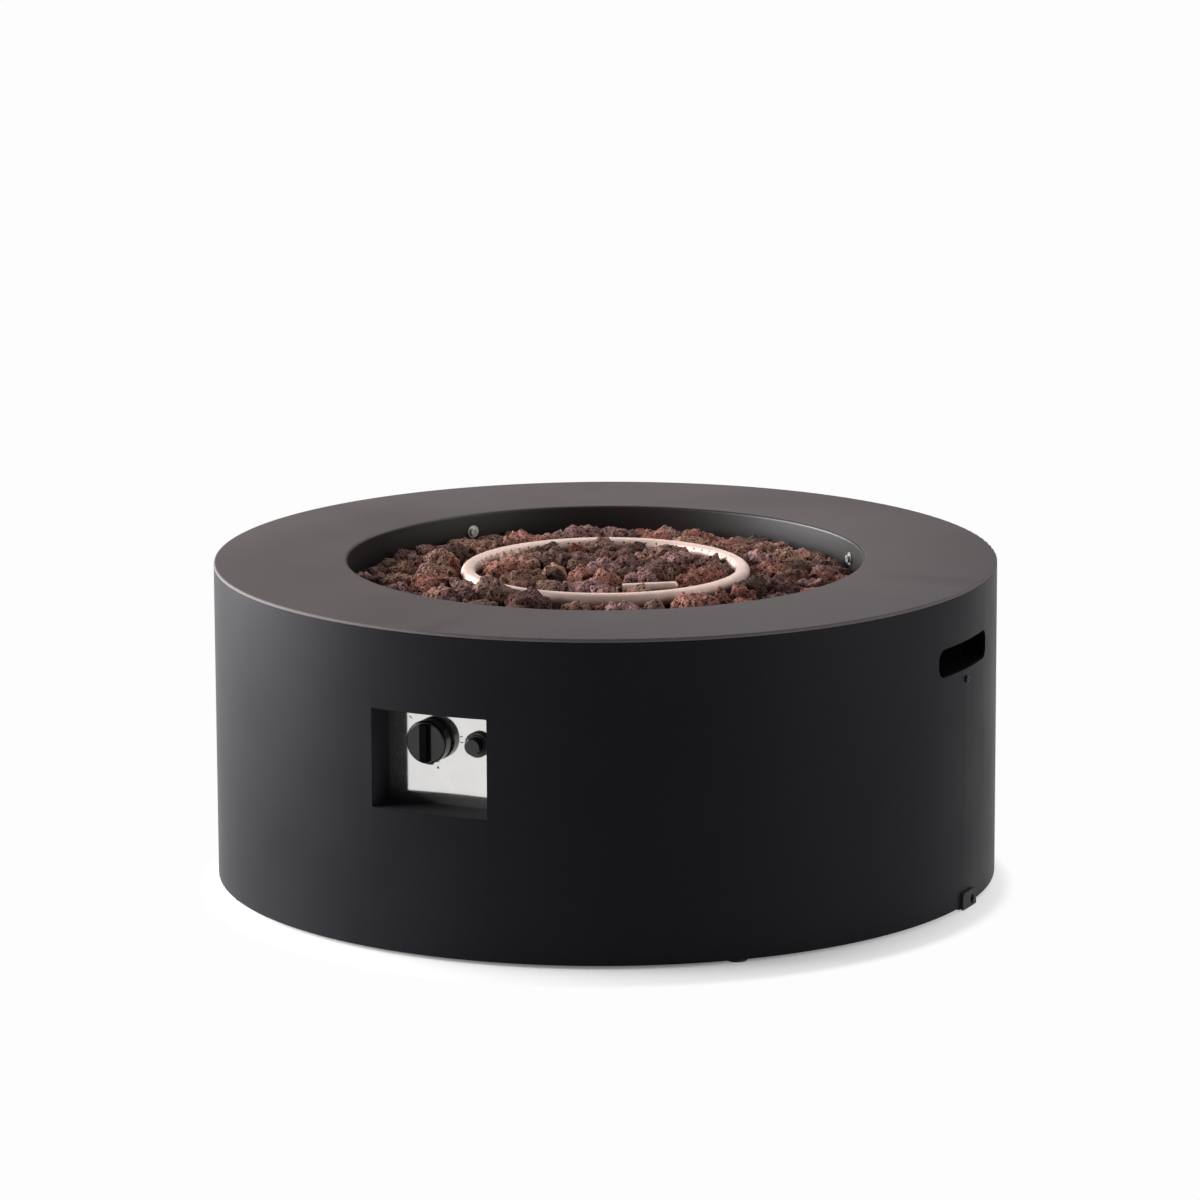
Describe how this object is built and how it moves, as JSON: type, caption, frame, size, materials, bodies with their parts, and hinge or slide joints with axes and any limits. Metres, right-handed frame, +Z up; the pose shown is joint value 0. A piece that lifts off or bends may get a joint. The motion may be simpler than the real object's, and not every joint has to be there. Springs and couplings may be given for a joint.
{
  "type": "propane fire pit",
  "caption": "Low round steel propane fire pit: drum with hand slots, recessed gas knob and push igniter, and a top pan with a ring burner under lava rock.",
  "frame": {"origin": "on the floor under the drum's centre", "axes": "+Z up along the drum's axis, the controls face -Y, the hand slots are on +X and -X"},
  "size_m": [0.92, 0.9144, 0.375],
  "materials": {
    "powder_black": "satin black powder coat",
    "powder_grey": "warm dark grey textured powder coat",
    "pan_black": "heat-proof matte black",
    "zinc_steel": "zinc-plated steel",
    "black_oxide": "black oxide steel",
    "stainless": "satin stainless steel",
    "polished_steel": "polished stainless steel",
    "black_plastic": "moulded black plastic",
    "gloss_black_plastic": "glossy black moulded plastic",
    "black_rubber": "black rubber",
    "brass": "turned brass",
    "aluminium": "cast and drawn aluminium",
    "ceramic": "white alumina",
    "lead_sleeve": "black silicone sleeve",
    "copper": "copper capillary",
    "battery_case": "plain printed can",
    "lava_red": "porous red-brown lava",
    "lava_brown": "porous brown lava",
    "lava_dark": "porous dark grey lava",
    "lava_violet": "porous mauve lava"
  },
  "bodies": {
    "drum": {"body_wall": "powder_black", "top_ring": "powder_grey", "top_hoop": "powder_black", "top_nuts": "zinc_steel", "base_hoop": "powder_black", "feet": "black_rubber", "hose_grommet": "black_rubber", "handle_liner_left": "black_plastic", "handle_liner_right": "black_plastic", "handle_screws": "black_oxide", "handle_nuts": "zinc_steel", "control_box": "powder_black", "control_panel": "polished_steel", "panel_screws": "zinc_steel", "stem_spring": "zinc_steel", "gas_valve": "aluminium", "valve_screws": "zinc_steel", "gas_inlet": "brass", "probe_nut": "brass", "igniter_barrel": "black_plastic", "igniter_collar": "black_plastic", "igniter_spring": "zinc_steel", "battery": "battery_case", "burner_pan": "pan_black", "pan_screws": "zinc_steel", "pan_washers": "zinc_steel", "pan_nuts": "zinc_steel", "ring_burner": "stainless", "burner_legs": "stainless", "inlet_locknut": "zinc_steel", "air_mixer": "aluminium", "gas_jet": "brass", "supply_tube": "aluminium", "tube_nuts": "brass", "ignition_hood": "stainless", "hood_strap": "stainless", "electrode_insulator": "ceramic", "spark_electrode": "stainless", "flame_probe": "stainless", "push_clips": "zinc_steel", "spark_lead": "lead_sleeve", "capillary_lead": "copper", "lava_rocks_red": "lava_red", "lava_rocks_brown": "lava_brown", "lava_rocks_dark": "lava_dark", "lava_rocks_violet": "lava_violet"},
    "stem_carriage": {"spring_seat": "zinc_steel"},
    "knob": {"knob": "gloss_black_plastic", "valve_stem": "zinc_steel"},
    "igniter_button": {"igniter_button": "gloss_black_plastic"}
  },
  "joints": [
    {"name": "knob_push", "type": "slide", "parent": "drum", "child": "stem_carriage", "axis": [0, 1, 0], "range_m": [0, 0.004], "stiffness_N_per_m": 600, "deforming": ["stem_spring"]},
    {"name": "knob_turn", "type": "hinge", "parent": "stem_carriage", "child": "knob", "pos_m": [-0.017, -0.42, 0.2405], "axis": [0, -1, 0], "range_deg": [0, 180]},
    {"name": "igniter_push", "type": "slide", "parent": "drum", "child": "igniter_button", "axis": [0, 1, 0], "range_m": [0, 0.006], "stiffness_N_per_m": 400, "deforming": ["igniter_spring"]}
  ]
}
